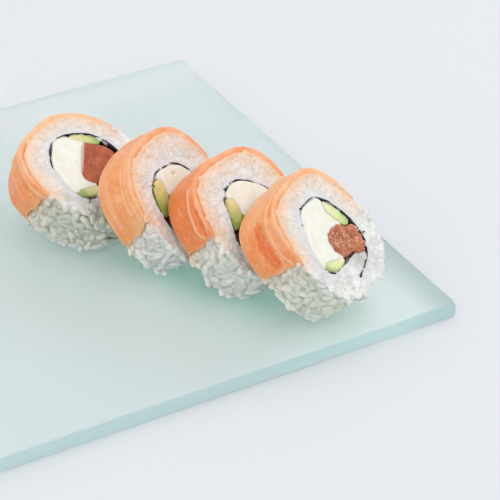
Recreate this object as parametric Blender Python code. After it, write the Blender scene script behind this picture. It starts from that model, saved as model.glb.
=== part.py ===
"""Four slices of maki draped in salmon, leaning in a row on a square glass plate.

The plate lies flat, centred on the origin with its underside at zero, and its front edge faces -Y.
Each slice is drawn flat first, in millimetres, in a frame of its own: X runs across the upper cut
face, Y up it and Z out of it, from the middle of that face.  An empty then stands the slice on the
plate, leaning back on the slice behind it.  Every filling runs through from one cut to the other.
"""

import math
from dataclasses import dataclass

import bmesh
import bpy
from mathutils import Matrix, Vector

MM = 0.001

# Plate of 6 mm float glass, cut square, with an arris ground along its edges and its corners
# dubbed: each dub is how far it runs back along the edges and how far down the corner.
PLATE_SIDE = 200.0
PLATE_THICKNESS = 6.0
PLATE_ARRIS = 0.4
TOP_DUB = (1.4, 1.8)
BOTTOM_DUB = (0.8, 1.2)
COPLANAR = math.radians(0.1)
PLATE_ROOM_MARGIN = 30.0

# Layers of a slice.
GAP = 0.3
SALMON_THICKNESS = 2.2
SALMON_TIP_SHARE = 0.4
SALMON_TAPER_SHARE = 0.14
NORI_THICKNESS = 0.5
RICE_UNEVENNESS = 0.5

# How far each filling stands out of the cut, or sinks below it where negative.
PROUD = {
    "nori": 0.4,
    "cream_cheese": 0.3,
    "avocado_upper": -0.2,
    "avocado_lower": -0.2,
    "salmon_core": 0.2,
}

# How far the cutters run out past a cut: each one further than the last, so that none end flush.
AROUND_OVERRUN = 2.0
ROOM_OVERRUN = 5.0
SLOT_OVERRUN = 6.0

# Fineness of the outlines.
WRAP_SPANS = 22
BARE_SPANS = 16
BARE_START = math.radians(3)
DEPTH_SPANS = 3
CURVE_STEPS = 3

# The last slice leans back almost flat, and its rice has sagged under it down to the plate.
SAG_DEPTHS = (5.0, 11.0, 26.0)
SAG_REACH = 11.0
SAG_SHRINK = 0.36
SAG_SHIFT = (3.5, 1.0)

COLOURS = {
    "plate": (0.60, 0.76, 0.74, 1.0),
    "salmon_wrap": (0.90, 0.36, 0.13, 1.0),
    "rice": (0.80, 0.78, 0.74, 1.0),
    "nori": (0.010, 0.013, 0.012, 1.0),
    "cream_cheese": (0.88, 0.84, 0.68, 1.0),
    "avocado_upper": (0.58, 0.60, 0.17, 1.0),
    "avocado_lower": (0.52, 0.56, 0.16, 1.0),
    "salmon_core": (0.46, 0.12, 0.06, 1.0),
}
ROUGHNESS = {"plate": 0.25, "salmon_wrap": 0.35, "nori": 0.45}
SOFT_ROUGHNESS = 0.5


@dataclass
class Slice:
    """One slice: where it stands, the size of its cut face, and what shows in it."""

    middle: tuple
    heading: float
    tilt: float
    spin: float
    half_width: float
    half_height: float
    squareness: float
    length: float
    wrap_right: tuple
    wrap_left: tuple
    nori: tuple
    cream_cheese: tuple
    avocado_upper: tuple
    avocado_lower: tuple
    salmon_core: tuple
    sagged: bool = False


# heading is the compass angle from +X that the cut face looks to, tilt is how far it looks up, and
# spin turns the slice in its own plane.  wrap_right and wrap_left are the angles round the rim at
# which the salmon ends, at the front cut and at the back cut.  nori follows the sheet's middle from
# its inner end to its outer end.  The other outlines are closed.
SLICES = (
    Slice(
        middle=(11.0, 4.0, 33.6), heading=-66.5, tilt=67.0, spin=9.1,
        half_width=23.1, half_height=23.6, squareness=2.41, length=17.8,
        wrap_right=(10, 6), wrap_left=(175, 163), sagged=True,
        nori=((1.5, -11.6), (-3.5, -11.0), (-9.0, -11.5), (-13.4, -9.8), (-15.7, -5.5), (-14.4, 1.0),
              (-11.2, 8.0), (-7.0, 11.9), (-3.5, 13.9), (0.5, 15.1), (5.2, 13.7), (9.6, 11.0),
              (12.9, 7.2), (14.3, 3.0), (14.3, -3.0), (12.6, -9.0), (8.5, -13.6), (3.0, -16.0),
              (-2.0, -16.8)),
        cream_cheese=((-10.4, 7.6), (-6.3, 11.1), (-3.2, 13.0), (0.4, 14.2), (4.3, 12.7), (6.0, 10.0),
                      (7.4, 6.0), (3.0, 2.5), (-3.0, -2.0), (-5.4, -7.0), (-8.0, -8.4),
                      (-12.0, -7.0), (-14.7, -4.4), (-13.6, 1.0)),
        avocado_upper=((5.0, 11.7), (7.6, 11.4), (10.6, 8.8), (12.9, 5.0), (12.4, 2.8), (10.9, 2.9),
                       (8.6, 5.6), (6.4, 8.8)),
        avocado_lower=((-14.6, -5.6), (-12.6, -5.2), (-8.6, -7.3), (-6.0, -8.7), (-6.6, -10.1),
                       (-9.6, -10.6), (-13.1, -8.9)),
        salmon_core=((6.7, 6.5), (9.4, 3.2), (11.6, 0.0), (11.4, -5.0), (8.0, -8.6), (2.0, -9.6),
                     (-3.0, -8.7), (-6.4, -6.8), (-6.9, -3.2), (-4.8, -0.4), (0.5, 3.0)),
    ),
    Slice(
        middle=(31.7, -28.4, 33.1), heading=-57.0, tilt=39.4, spin=3.4,
        half_width=22.7, half_height=22.8, squareness=2.57, length=16.2,
        wrap_right=(2, 4), wrap_left=(174, 187),
        nori=((-2.0, -11.6), (2.5, -11.0), (8.0, -11.4), (12.2, -9.2), (14.0, -4.5), (12.3, -0.8),
              (10.4, 2.6), (8.2, 6.8), (4.6, 9.8), (0.2, 10.9), (-5.2, 11.7), (-9.6, 10.7),
              (-12.6, 7.4), (-14.6, 3.0), (-15.6, -3.0), (-13.9, -9.6), (-9.6, -14.2),
              (-3.5, -16.2), (1.0, -16.6)),
        cream_cheese=((-4.6, 10.7), (0.2, 10.0), (4.0, 8.9), (7.2, 6.2), (9.2, 2.4), (11.0, -1.0),
                      (12.7, -4.6), (10.0, -7.5), (6.0, -8.0), (2.5, -5.0), (0.0, -2.0),
                      (-5.0, 1.0), (-6.5, 4.5), (-6.6, 8.0)),
        avocado_upper=((-9.7, 8.7), (-6.9, 9.4), (-5.0, 8.0), (-6.0, 4.4), (-7.9, 1.6), (-10.2, -0.9),
                       (-12.9, -2.0), (-14.0, 0.0), (-12.5, 4.6)),
        avocado_lower=((4.4, -9.7), (4.6, -8.6), (8.0, -7.2), (11.2, -5.6), (12.8, -5.6), (11.8, -8.3),
                       (8.2, -10.3)),
        salmon_core=((3.6, -4.5), (2.4, -0.7), (-1.4, 0.8), (-5.6, 0.4), (-8.8, -1.6), (-12.4, -3.8),
                     (-13.7, -6.4), (-12.0, -10.0), (-8.6, -12.5), (-5.0, -12.0), (-1.5, -10.3),
                     (1.6, -9.7), (3.2, -7.6)),
    ),
    Slice(
        middle=(46.6, -54.1, 34.0), heading=-68.8, tilt=47.2, spin=-0.8,
        half_width=20.9, half_height=23.5, squareness=2.9, length=17.7,
        wrap_right=(3, 5), wrap_left=(177, 180),
        nori=((-1.5, -11.4), (3.0, -11.0), (8.0, -11.2), (12.1, -9.0), (13.6, -4.0), (12.8, 1.0),
              (10.6, 5.6), (6.0, 10.3), (0.6, 13.2), (-4.8, 12.5), (-8.6, 9.6), (-10.9, 4.6),
              (-12.5, -1.0), (-13.7, -6.0), (-12.2, -11.4), (-7.7, -15.0), (-2.0, -16.6),
              (2.0, -16.8)),
        cream_cheese=((-4.5, 11.6), (0.5, 12.3), (5.3, 9.7), (9.8, 5.2), (11.9, 0.8), (12.5, -4.2),
                      (10.6, -7.5), (6.0, -8.4), (2.0, -6.0), (0.0, -2.0), (-4.0, 1.0),
                      (-6.0, 4.0), (-6.4, 9.6)),
        avocado_upper=((-8.6, 8.3), (-6.8, 8.9), (-5.0, 7.4), (-4.9, 3.6), (-6.2, 1.2), (-8.6, -0.9),
                       (-11.0, -1.5), (-11.3, 0.3), (-9.8, 4.4)),
        avocado_lower=((4.4, -9.7), (4.6, -8.6), (8.0, -7.2), (11.0, -5.6), (12.4, -5.7), (11.5, -8.2),
                       (8.2, -10.1)),
        salmon_core=((3.6, -4.5), (2.4, -0.9), (-1.2, 0.6), (-5.0, -0.3), (-8.4, -2.5), (-11.4, -3.5),
                     (-12.2, -6.4), (-10.9, -10.4), (-7.5, -13.0), (-4.0, -12.0), (-1.0, -10.1),
                     (1.8, -9.7), (3.2, -7.6)),
    ),
    Slice(
        middle=(60.9, -80.4, 36.0), heading=-60.0, tilt=46.2, spin=4.9,
        half_width=20.3, half_height=23.0, squareness=2.94, length=19.4,
        wrap_right=(4, 3), wrap_left=(173, 168),
        nori=((1.8, -10.7), (-2.5, -10.3), (-8.0, -10.9), (-12.4, -9.4), (-15.2, -5.2), (-13.6, 1.6),
              (-9.6, 8.4), (-4.5, 13.1), (0.5, 13.4), (5.2, 12.6), (8.6, 9.0), (11.0, 3.0),
              (11.7, -3.0), (10.3, -10.5), (6.5, -14.4), (0.5, -16.4), (-3.7, -17.3)),
        cream_cheese=((-4.2, 12.2), (0.3, 12.5), (4.7, 11.7), (6.1, 10.2), (5.8, 6.0), (6.4, 1.2),
                      (4.0, -2.0), (-2.0, -3.0), (-2.8, -7.0), (-5.0, -8.8), (-9.0, -7.5),
                      (-12.4, -6.2), (-14.3, -4.7), (-12.7, 1.6), (-8.9, 7.8)),
        avocado_upper=((6.2, 9.3), (7.7, 8.2), (9.6, 3.6), (10.7, -0.9), (9.6, -2.5), (7.7, -1.6),
                       (5.6, 2.2), (4.8, 6.4)),
        avocado_lower=((-14.0, -5.7), (-11.2, -5.3), (-7.6, -7.0), (-4.3, -8.5), (-4.5, -9.5),
                       (-8.0, -10.1), (-12.0, -8.7)),
        salmon_core=((-4.6, -4.5), (-3.2, -0.2), (0.6, 0.9), (4.6, 0.0), (6.9, -2.8), (10.2, -3.9),
                     (10.5, -6.5), (9.2, -10.4), (6.6, -12.6), (4.0, -11.5), (1.6, -9.4),
                     (-1.4, -9.2), (-3.4, -8.0)),
    ),
)


def clear_scene():
    for thing in list(bpy.data.objects):
        bpy.data.objects.remove(thing, do_unlink=True)


def smooth(points, closed):
    """Catmull-Rom curve through the points, as a list of Vectors."""
    count = len(points)
    curve = []
    for index in range(count if closed else count - 1):
        if closed:
            near = [Vector(points[(index + step) % count]) for step in (-1, 0, 1, 2)]
        else:
            near = [Vector(points[min(max(index + step, 0), count - 1)]) for step in (-1, 0, 1, 2)]
        before, start, end, after = near
        for step in range(CURVE_STEPS):
            t = step / CURVE_STEPS
            curve.append(0.5 * (
                2 * start
                + (end - before) * t
                + (2 * before - 5 * start + 4 * end - after) * t ** 2
                + (3 * start - before - 3 * end + after) * t ** 3
            ))
    if not closed:
        curve.append(Vector(points[-1]))
    return curve


def side_way(curve, index, closed):
    """Unit vector across the curve at one of its points, to the left of its run."""
    count = len(curve)
    if closed:
        run = curve[(index + 1) % count] - curve[index - 1]
    else:
        run = curve[min(index + 1, count - 1)] - curve[max(index - 1, 0)]
    return Vector((-run.y, run.x)).normalized()


def grown(outline, distance):
    """Closed outline moved outwards by a distance."""
    area = sum(a.x * b.y - b.x * a.y for a, b in zip(outline, outline[1:] + outline[:1]))
    outwards = -distance if area > 0 else distance
    return [point + outwards * side_way(outline, i, True) for i, point in enumerate(outline)]


def strip(curve, thickness, overrun=0.0):
    """Closed outline of a band that follows an open curve, run on past both of its ends."""
    line = list(curve)
    line[0] = line[0] + (line[0] - line[1]).normalized() * overrun
    line[-1] = line[-1] + (line[-1] - line[-2]).normalized() * overrun
    ways = [side_way(line, i, False) * thickness / 2 for i in range(len(line))]
    left = [point + way for point, way in zip(line, ways)]
    right = [point - way for point, way in zip(line, ways)]
    return left + right[::-1]


def ease(share):
    share = min(max(share, 0.0), 1.0)
    return share * share * (3 - 2 * share)


def sag(piece, point, depth):
    """Point of a slice at a depth below its upper cut, drawn in and aside where the rice sagged."""
    amount = ease((depth - piece.length) / SAG_REACH) if piece.sagged else 0.0
    across = point.x * (1 - SAG_SHRINK * amount) + SAG_SHIFT[0] * amount
    up = point.y * (1 - SAG_SHRINK * amount) + SAG_SHIFT[1] * amount
    return Vector((across, up, -depth))


def depths(piece):
    """Depths of the rings along a slice, from its upper cut down."""
    rings = [piece.length * i / DEPTH_SPANS for i in range(DEPTH_SPANS + 1)]
    if piece.sagged:
        rings += [piece.length + extra for extra in SAG_DEPTHS]
    return rings


def rim(piece, angle, inset=0.0):
    """Point of the slice's rounded-square rim, at an angle seen from its middle."""
    across = abs(math.cos(angle) / piece.half_width) ** piece.squareness
    up = abs(math.sin(angle) / piece.half_height) ** piece.squareness
    radius = (across + up) ** (-1 / piece.squareness) - inset
    return Vector((radius * math.cos(angle), radius * math.sin(angle)))


def wrap_angles(piece, depth):
    """Angles round the rim of the salmon's points, from its right end over the top to its left."""
    share = min(depth / piece.length, 1.0)
    right = math.radians(piece.wrap_right[0] + (piece.wrap_right[1] - piece.wrap_right[0]) * share)
    left = math.radians(piece.wrap_left[0] + (piece.wrap_left[1] - piece.wrap_left[0]) * share)
    return [right + (left - right) * i / WRAP_SPANS for i in range(WRAP_SPANS + 1)]


def wrap_thickness(index):
    """Thickness of the salmon at one of its points: it tapers to a blunt tip at both ends."""
    from_end = min(index, WRAP_SPANS - index) / WRAP_SPANS
    full = ease(from_end / SALMON_TAPER_SHARE)
    return SALMON_THICKNESS * (SALMON_TIP_SHARE + (1 - SALMON_TIP_SHARE) * full)


def rice_bump(angle, depth):
    """How far the bare rice lies inside the rim, which changes round and along the slice."""
    round_it = math.sin(7 * angle + 0.35 * depth) + math.sin(11 * angle - 0.5 * depth)
    return RICE_UNEVENNESS * (2 + round_it) / 4


def wrap_ring(piece, depth):
    angles = wrap_angles(piece, depth)
    outer = [rim(piece, angle) for angle in angles]
    inner = [rim(piece, angle, wrap_thickness(i)) for i, angle in enumerate(angles)]
    return [Vector((point.x, point.y, -depth)) for point in outer + inner[::-1]]


def rice_ring(piece, depth):
    """Rim of the rice: close under the salmon, and out to the slice's own rim below it."""
    angles = wrap_angles(piece, depth)
    ring = [rim(piece, angle, wrap_thickness(i) + GAP) for i, angle in enumerate(angles)]
    start = angles[-1] + BARE_START
    bare = angles[0] + math.tau - BARE_START - start
    for i in range(BARE_SPANS + 1):
        angle = start + bare * i / BARE_SPANS
        ring.append(rim(piece, angle, rice_bump(angle, depth)))
    return [sag(piece, point, depth) for point in ring]


def finish(mesh, name, stand):
    """Object from a bmesh, under the empty that stands its slice up."""
    data = bpy.data.meshes.new(name)
    mesh.to_mesh(data)
    mesh.free()
    body = bpy.data.objects.new(name, data)
    bpy.context.collection.objects.link(body)
    body.parent = stand
    return body


def lofted(name, rings, stand=None):
    """Closed body through a stack of rings that have the same number of points."""
    mesh = bmesh.new()
    stack = [[mesh.verts.new(point * MM) for point in ring] for ring in rings]
    caps = [mesh.faces.new(stack[0]), mesh.faces.new(stack[-1])]
    for upper, lower in zip(stack, stack[1:]):
        for i in range(len(upper)):
            mesh.faces.new((upper[i - 1], upper[i], lower[i], lower[i - 1]))
    bmesh.ops.recalc_face_normals(mesh, faces=mesh.faces)
    bmesh.ops.triangulate(mesh, faces=caps)
    return finish(mesh, name, stand)


def run_through(name, piece, outline, proud, stand):
    """Body with one outline all the way through a slice, standing out of both cuts."""
    levels = [-proud, piece.length + proud]
    if piece.sagged:
        levels = [-proud, piece.length] + [piece.length + extra for extra in SAG_DEPTHS]
    return lofted(name, [[sag(piece, point, depth) for point in outline] for depth in levels], stand)


def coat(body, part):
    material = bpy.data.materials.new(body.name)
    material.use_nodes = True
    shader = material.node_tree.nodes["Principled BSDF"]
    shader.inputs["Base Color"].default_value = COLOURS[part]
    shader.inputs["Roughness"].default_value = ROUGHNESS.get(part, SOFT_ROUGHNESS)
    material.diffuse_color = COLOURS[part]
    body.data.materials.append(material)


def hide(cutter):
    cutter.hide_render = True
    cutter.display_type = "WIRE"
    return cutter


def cut(body, cutter):
    away = body.modifiers.new("cut by " + cutter.name, "BOOLEAN")
    away.operation = "DIFFERENCE"
    away.object = cutter


def make_plate():
    """Square slab with a narrow arris along its edges and its corners dubbed off."""
    half = PLATE_SIDE / 2
    edge = half - PLATE_ARRIS
    mesh = bmesh.new()
    for face, inwards, (dub, drop) in ((PLATE_THICKNESS, -1, TOP_DUB), (0.0, 1, BOTTOM_DUB)):
        back = half - dub
        side = face + inwards * PLATE_ARRIS
        corner = [(edge, back, face), (back, edge, face), (half, back, side), (back, half, side),
                  (half, half, face + inwards * drop)]
        for x, y in ((1, 1), (-1, 1), (-1, -1), (1, -1)):
            for across, along, height in corner:
                mesh.verts.new(Vector((x * across, y * along, height)) * MM)
    bmesh.ops.convex_hull(mesh, input=mesh.verts)
    bmesh.ops.dissolve_limit(mesh, angle_limit=COPLANAR, verts=mesh.verts, edges=mesh.edges)
    bmesh.ops.recalc_face_normals(mesh, faces=mesh.faces)
    coat(finish(mesh, "plate", None), "plate")


def make_plate_room():
    """Cutter: the plate's own room and a little more, which the rice is pressed flat against."""
    half = PLATE_SIDE / 2 + PLATE_ROOM_MARGIN
    top = PLATE_THICKNESS + GAP
    corners = [(-half, -half), (half, -half), (half, half), (-half, half)]
    rings = [[Vector((x, y, height)) for x, y in corners] for height in (-PLATE_ROOM_MARGIN, top)]
    return hide(lofted("plate_room", rings))


def make_stand(piece, name):
    """Empty that carries a slice's frame to its place on the plate."""
    stand = bpy.data.objects.new(name + "_stand", None)
    bpy.context.collection.objects.link(stand)
    turned = Matrix.Rotation(math.radians(piece.heading + 90), 4, "Z")
    turned @= Matrix.Rotation(math.radians(90 - piece.tilt), 4, "X")
    turned @= Matrix.Rotation(math.radians(piece.spin), 4, "Z")
    stand.matrix_world = Matrix.Translation(Vector(piece.middle) * MM) @ turned
    return stand


def make_slice(piece, name, plate_room):
    stand = make_stand(piece, name)

    wrap_depths = [piece.length * i / DEPTH_SPANS for i in range(DEPTH_SPANS + 1)]
    wrap = lofted(name + "_salmon_wrap", [wrap_ring(piece, depth) for depth in wrap_depths], stand)
    coat(wrap, "salmon_wrap")

    rice = lofted(name + "_rice", [rice_ring(piece, depth) for depth in depths(piece)], stand)
    coat(rice, "rice")

    # The sheet of nori, and the room for it and for the fillings inside it.  Its last two stretches
    # lie out in the rice, so the room for the fillings closes before them.
    sheet = smooth(piece.nori, closed=False)
    room_end = len(sheet) - 2 * CURVE_STEPS
    room = hide(run_through(name + "_room", piece, sheet[:room_end], ROOM_OVERRUN, stand))
    slot_line = strip(sheet, NORI_THICKNESS + 2 * GAP, GAP)
    slot = hide(run_through(name + "_slot", piece, slot_line, SLOT_OVERRUN, stand))
    cut(rice, room)
    cut(rice, slot)
    cut(rice, plate_room)

    pieces = {"nori": run_through(
        name + "_nori", piece, strip(sheet, NORI_THICKNESS), PROUD["nori"], stand
    )}
    for part in ("cream_cheese", "avocado_upper", "avocado_lower", "salmon_core"):
        outline = smooth(getattr(piece, part), closed=True)
        pieces[part] = run_through(name + "_" + part, piece, outline, PROUD[part], stand)
        if part != "cream_cheese":
            ring = grown(outline, GAP)
            around = hide(run_through(name + "_around_" + part, piece, ring, AROUND_OVERRUN, stand))
            cut(pieces["cream_cheese"], around)
    for part, body in pieces.items():
        coat(body, part)
        if piece.sagged:
            cut(body, plate_room)


def main():
    clear_scene()
    make_plate()
    plate_room = make_plate_room()
    for number, piece in enumerate(SLICES, start=1):
        make_slice(piece, "maki_%d" % number, plate_room)


main()
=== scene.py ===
"""Looks for four slices of salmon maki leaning in a row on a square plate of frosted glass.

Lengths are in millimetres in a slice's own frame, where X runs across its upper cut, Y up it and Z out
of it, and in metres everywhere else.  The CAD gives the shape of every filling and of the rice.
"""

import math
from contextlib import contextmanager
from dataclasses import dataclass

import bpy
import numpy as np
from mathutils import Matrix, Vector, noise
from mathutils.bvhtree import BVHTree
from mathutils.kdtree import KDTree


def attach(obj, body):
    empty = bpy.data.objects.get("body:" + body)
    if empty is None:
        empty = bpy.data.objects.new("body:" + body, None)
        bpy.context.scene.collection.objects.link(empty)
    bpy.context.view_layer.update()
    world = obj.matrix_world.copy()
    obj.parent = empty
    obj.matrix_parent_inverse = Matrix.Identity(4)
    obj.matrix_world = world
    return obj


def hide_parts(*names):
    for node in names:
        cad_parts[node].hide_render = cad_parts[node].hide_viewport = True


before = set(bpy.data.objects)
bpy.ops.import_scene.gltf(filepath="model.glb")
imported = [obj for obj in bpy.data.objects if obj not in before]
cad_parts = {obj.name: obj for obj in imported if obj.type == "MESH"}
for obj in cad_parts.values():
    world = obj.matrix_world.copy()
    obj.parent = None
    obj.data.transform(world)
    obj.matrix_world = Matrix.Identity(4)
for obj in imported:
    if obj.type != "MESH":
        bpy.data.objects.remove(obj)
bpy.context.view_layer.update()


MM = 0.001
PLATE_TOP = 6.0
GLASS_CLEARANCE = 0.04
SEED = 20
# left alone, noise_vector starts from the clock
noise.seed_set(SEED)


@dataclass
class Slice:
    """One slice: where it stands, the size of its cut, where its salmon ends, and the salmon's folds."""

    name: str
    middle: tuple
    heading: float
    tilt: float
    spin: float
    half_width: float
    half_height: float
    squareness: float
    length: float
    wrap_right: tuple
    wrap_left: tuple
    folds: tuple
    nori_marks: tuple
    nori_spurs: tuple
    painted_shade_spots: tuple
    rich_above: float
    rich_below: float
    slump: float = 0.0

    def frame(self):
        """Millimetres in the slice's own frame to metres on the plate."""
        turned = Matrix.Rotation(math.radians(self.heading + 90), 4, "Z")
        turned @= Matrix.Rotation(math.radians(90 - self.tilt), 4, "X")
        turned @= Matrix.Rotation(math.radians(self.spin), 4, "Z")
        return Matrix.Translation(Vector(self.middle) * MM) @ turned @ Matrix.Scale(MM, 4)

    def axis(self):
        """The way the upper cut looks."""
        return np.array(self.frame().to_3x3().col[2].normalized())

    def outside(self, local):
        """Points of the slice's own frame, as places in metres on the plate."""
        return through(self.frame(), local)

    def inside(self, spots):
        """Places in metres on the plate, as points of the slice's own frame."""
        return through(self.frame().inverted(), spots)

    def from_cuts(self, local):
        """How far points lie below the upper cut or above the lower one, whichever is less."""
        return np.minimum(np.abs(local[:, 2]), np.abs(local[:, 2] + self.length))

    def neighbours(self):
        """Names of the nodes that the rice lies against."""
        return [self.name + part for part in FILLING_PARTS + ("_salmon_wrap",)]

    def rim(self, angle):
        """How far the roll's outline lies from its middle, at angles in radians."""
        across = np.abs(np.cos(angle) / self.half_width) ** self.squareness
        up = np.abs(np.sin(angle) / self.half_height) ** self.squareness
        return (across + up) ** (-1 / self.squareness)


# A fold is a run of points (angle round the rim in degrees, depth below the cut), then its width, how
# far it stands up (above 0) or sinks in, and how pale (above 0) or deep in colour it is: the pale is
# fatty flesh and partly a painted highlight on the fold, and the deep colour is partly painted shade.
# A nori mark is a place on the cut, its reach, and whether the sheet is thick there (above 0) or lost
# under rice and cheese.  A nori spur is a torn bit that sticks out of the sheet's line, from its tip
# to its root.  A painted shade spot is a place on the cut, its reach and a share: the rice is painted
# grey there, as shade.
# The salmon is deep in colour (above 0) or pale, above at its top and below at its left side.
SLICES = (
    Slice(
        name="maki_1", middle=(11.0, 4.0, 33.6), heading=-66.5, tilt=67.0, spin=9.1,
        half_width=23.1, half_height=23.6, squareness=2.41, length=17.8,
        wrap_right=(10, 6), wrap_left=(175, 163),
        folds=(
            (((118, 1.2), (132, 1.6), (146, 1.4), (160, 2.6), (172, 2.4)), 0.9, 0.55, 0.8),
            (((120, 4.0), (138, 4.6), (152, 5.0), (166, 5.4)), 1.3, -0.55, -0.5),
            (((96, 5.5), (118, 7.5), (140, 8.5), (158, 9.5)), 1.4, 0.5, 0.5),
            (((90, 11.0), (118, 12.0), (150, 13.5)), 1.6, -0.4, -0.5),
            (((70, 2.0), (84, 1.5), (100, 3.0)), 0.9, 0.4, 0.5),
        ),
        nori_marks=((-5.4, 12.9, 2.0, 0.6), (-12.6, 5.2, 2.4, -1.0), (-14.2, 1.4, 2.8, -1.0),
                    (-15.4, -2.6, 2.8, -1.0), (-15.4, -6.4, 2.4, -1.0), (-13.0, -9.8, 1.4, 0.4),
                    (-4.0, -11.2, 2.0, -0.6), (1.0, -11.6, 1.6, 1.0), (14.2, 0.0, 3.0, 0.3)),
        nori_spurs=((-16.3, -11.7, -13.4, -9.6), (2.0, -12.2, 2.6, -15.2)),
        painted_shade_spots=((-15.0, -10.5, 5.0, 0.9), (-18.5, -3.0, 3.0, 0.6)),
        rich_above=-1.1, rich_below=0.5, slump=5.0,
    ),
    Slice(
        name="maki_2", middle=(31.7, -28.4, 33.1), heading=-57.0, tilt=39.4, spin=3.4,
        half_width=22.7, half_height=22.8, squareness=2.57, length=16.2,
        wrap_right=(2, 4), wrap_left=(174, 187),
        folds=(
            (((78, 1.5), (100, 1.8), (125, 2.0), (150, 2.6), (170, 2.2)), 0.5, 0.25, 0.9),
            (((92, 3.0), (118, 3.4), (142, 4.0), (164, 4.6)), 0.5, 0.2, 0.8),
            (((100, 2.4), (130, 2.7), (160, 3.4)), 0.5, -0.2, -0.5),
            (((96, 7.0), (130, 8.5), (165, 9.5)), 2.6, 0.3, -0.35),
            (((76, 0.5), (80, 6.0), (84, 11.0)), 1.2, 0.35, 0.4),
        ),
        nori_marks=((-8.0, 11.2, 2.0, -1.0), (-11.0, 9.4, 1.4, -0.9), (2.9, 10.4, 0.9, -0.7),
                    (-14.9, 2.6, 3.2, -0.45), (-15.2, -6.2, 2.6, 0.6)),
        nori_spurs=((-12.6, 10.2, -9.4, 8.9),),
        painted_shade_spots=((-17.2, -1.0, 2.6, 0.5),),
        rich_above=0.35, rich_below=-0.1,
    ),
    Slice(
        name="maki_3", middle=(46.6, -54.1, 34.0), heading=-68.8, tilt=47.2, spin=-0.8,
        half_width=20.9, half_height=23.5, squareness=2.9, length=17.7,
        wrap_right=(3, 5), wrap_left=(177, 180),
        folds=(
            (((152, 2.4), (160, 2.7), (167, 3.2), (172, 3.6)), 1.3, -1.5, -1.0),
            (((132, 3.0), (146, 4.6), (157, 5.2), (166, 5.9), (172, 5.4), (175, 4.2)), 0.7, 0.9, 1.0),
            (((146, 0.9), (156, 0.5), (166, 0.8), (174, 2.4)), 0.6, 0.7, 1.0),
            (((104, 1.6), (122, 1.5), (140, 2.2)), 0.5, 0.25, 0.6),
            (((104, 7.5), (132, 9.5), (160, 10.5)), 2.4, -0.25, -0.5),
            (((72, 0.5), (74, 6.0), (80, 12.0)), 1.3, 0.35, 0.3),
        ),
        nori_marks=((-5.4, 12.2, 0.9, 0.7), (-7.2, 11.2, 1.3, -1.0), (-8.3, 9.8, 0.6, 0.6),
                    (-10.2, 6.6, 1.3, -1.0), (-11.6, 2.4, 1.8, -0.8), (-13.4, -4.8, 2.0, 0.7),
                    (8.2, 7.6, 2.2, -0.4)),
        nori_spurs=((-6.8, 13.0, -5.2, 12.1), (-12.0, 4.4, -10.8, 4.0)),
        painted_shade_spots=((-14.4, 0.6, 2.6, 0.4),),
        rich_above=0.65, rich_below=1.1,
    ),
    Slice(
        name="maki_4", middle=(60.9, -80.4, 36.0), heading=-60.0, tilt=46.2, spin=4.9,
        half_width=20.3, half_height=23.0, squareness=2.94, length=19.4,
        wrap_right=(4, 3), wrap_left=(178, 169),
        folds=(
            (((108, 1.2), (122, 3.2), (136, 4.6), (152, 4.8), (164, 4.2), (172, 3.2)), 0.8, 0.45, 0.9),
            (((134, 9.0), (146, 9.4), (162, 8.6)), 3.7, -0.4, -1.0),
            (((94, 0.8), (112, 1.6), (128, 2.2)), 0.6, -0.25, -0.8),
            (((88, 6.0), (112, 8.5), (138, 12.5), (160, 14.0)), 0.8, 0.2, 0.5),
            (((64, 0.5), (68, 6.0), (72, 12.0)), 1.4, 0.35, 0.3),
        ),
        nori_marks=((-5.8, 12.2, 1.3, -1.0), (-8.2, 10.1, 1.9, -1.0), (-10.2, 7.6, 1.9, -1.0),
                    (-12.0, 4.6, 2.2, -1.0), (-13.8, 1.2, 2.6, -1.0), (-14.9, -2.4, 2.6, -1.0),
                    (-15.0, -6.0, 2.2, -1.0), (-12.2, -9.4, 1.1, 0.5), (-7.5, -10.8, 2.0, -0.8),
                    (11.6, -1.5, 2.6, 0.6), (10.9, -7.0, 3.4, 1.2), (5.4, -14.6, 3.0, 0.4),
                    (-3.6, -17.2, 1.6, 1.6)),
        nori_spurs=((-4.6, 13.9, -3.0, 13.3), (-5.6, 12.6, -4.6, 11.7), (-9.2, 9.9, -8.0, 9.1),
                    (-10.9, 7.0, -9.9, 6.6), (11.6, -8.4, 13.0, -8.8)),
        painted_shade_spots=((2.7, -13.2, 3.8, 1.2), (-17.0, -1.5, 2.2, 0.4)),
        rich_above=-0.55, rich_below=0.35,
    ),
)


# ---------------------------------------------------------------- working with meshes

def deselect():
    if bpy.context.object and bpy.context.object.mode != "OBJECT":
        bpy.ops.object.mode_set(mode="OBJECT")
    bpy.ops.object.select_all(action="DESELECT")


def work_on(thing):
    deselect()
    thing.select_set(True)
    bpy.context.view_layer.objects.active = thing


@contextmanager
def editing(thing):
    """Edit mode on the whole of a mesh."""
    work_on(thing)
    bpy.ops.object.mode_set(mode="EDIT")
    bpy.ops.mesh.select_all(action="SELECT")
    yield
    bpy.ops.object.mode_set(mode="OBJECT")


def places(thing):
    """Places of a mesh's points, in metres."""
    spots = np.empty(len(thing.data.vertices) * 3)
    thing.data.vertices.foreach_get("co", spots)
    return spots.reshape(-1, 3)


def place(thing, spots):
    thing.data.vertices.foreach_set("co", np.asarray(spots, float).ravel())
    thing.data.update()


def outward(thing):
    """The way that the surface looks at each point of a mesh."""
    ways = np.empty(len(thing.data.vertices) * 3)
    thing.data.vertex_normals.foreach_get("vector", ways)
    return ways.reshape(-1, 3)


def through(matrix, spots):
    """Points moved by a 4x4 matrix."""
    matrix = np.array(matrix)
    return spots @ matrix[:3, :3].T + matrix[:3, 3]


def write_values(thing, **values):
    """What a piece's material reads at each of the piece's points."""
    for name, numbers in values.items():
        kept = thing.data.attributes.new(name, "FLOAT", "POINT")
        kept.data.foreach_set("value", np.asarray(numbers, np.float32))


def ease(share):
    share = np.clip(share, 0, 1)
    return share * share * (3 - 2 * share)


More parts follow.
